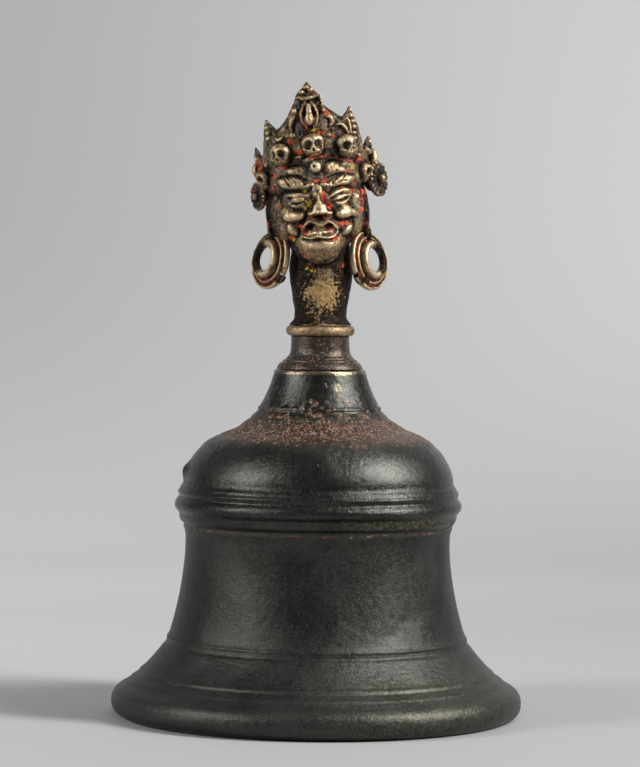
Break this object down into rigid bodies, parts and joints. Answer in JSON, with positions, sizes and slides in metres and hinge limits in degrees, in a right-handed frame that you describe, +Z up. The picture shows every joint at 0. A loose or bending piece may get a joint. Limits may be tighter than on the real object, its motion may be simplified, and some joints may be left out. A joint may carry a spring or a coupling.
{
  "type": "ritual hand bell",
  "caption": "Cast bronze hand bell with a guardian's head as its handle and a clapper that swings from a turning stirrup inside.",
  "frame": {"origin": "centre of the mouth, in the plane that the rim stands on", "axes": "+Z up along the bell's axis to the diadem's tip; the face looks along -Y; +X is the viewer's right"},
  "size_m": [0.14, 0.14, 0.2156],
  "materials": {
    "dark_bronze": "brown-black patinated cast bronze with fine pits, earthy red crust on the shoulder and worn yellow edges",
    "worn_brass": "cast brass, rubbed bright on the high places, black and red pigment in the hollows",
    "clapper_bronze": "dull bronze, struck bright round its belly",
    "forged_iron": "forged iron, hammer-marked, thinly rusted",
    "lac_core": "dark lac over clay core"
  },
  "bodies": {
    "bell": {"bell_shell": "dark_bronze", "ferrule": "dark_bronze", "collar_ring": "worn_brass", "head": "worn_brass", "core_packing": "lac_core", "diadem": "worn_brass", "rosette_left": "worn_brass", "rosette_right": "worn_brass", "earring_left": "worn_brass", "earring_right": "worn_brass", "tang_rod": "forged_iron", "rove_washer": "forged_iron", "wedge_key": "forged_iron"},
    "stirrup": {"stirrup": "forged_iron", "clapper_pin": "forged_iron"},
    "clapper": {"clapper_rod": "forged_iron", "clapper_ball": "clapper_bronze"}
  },
  "joints": [
    {"name": "stirrup_turn", "type": "hinge", "parent": "bell", "child": "stirrup", "pos_m": [0, 0, 0.0983], "axis": [0, 0, 1], "continuous": true},
    {"name": "clapper_swing", "type": "hinge", "parent": "stirrup", "child": "clapper", "pos_m": [0, 0, 0.0898], "axis": [1, 0, 0], "range_deg": [-29.5, 29.5]}
  ]
}
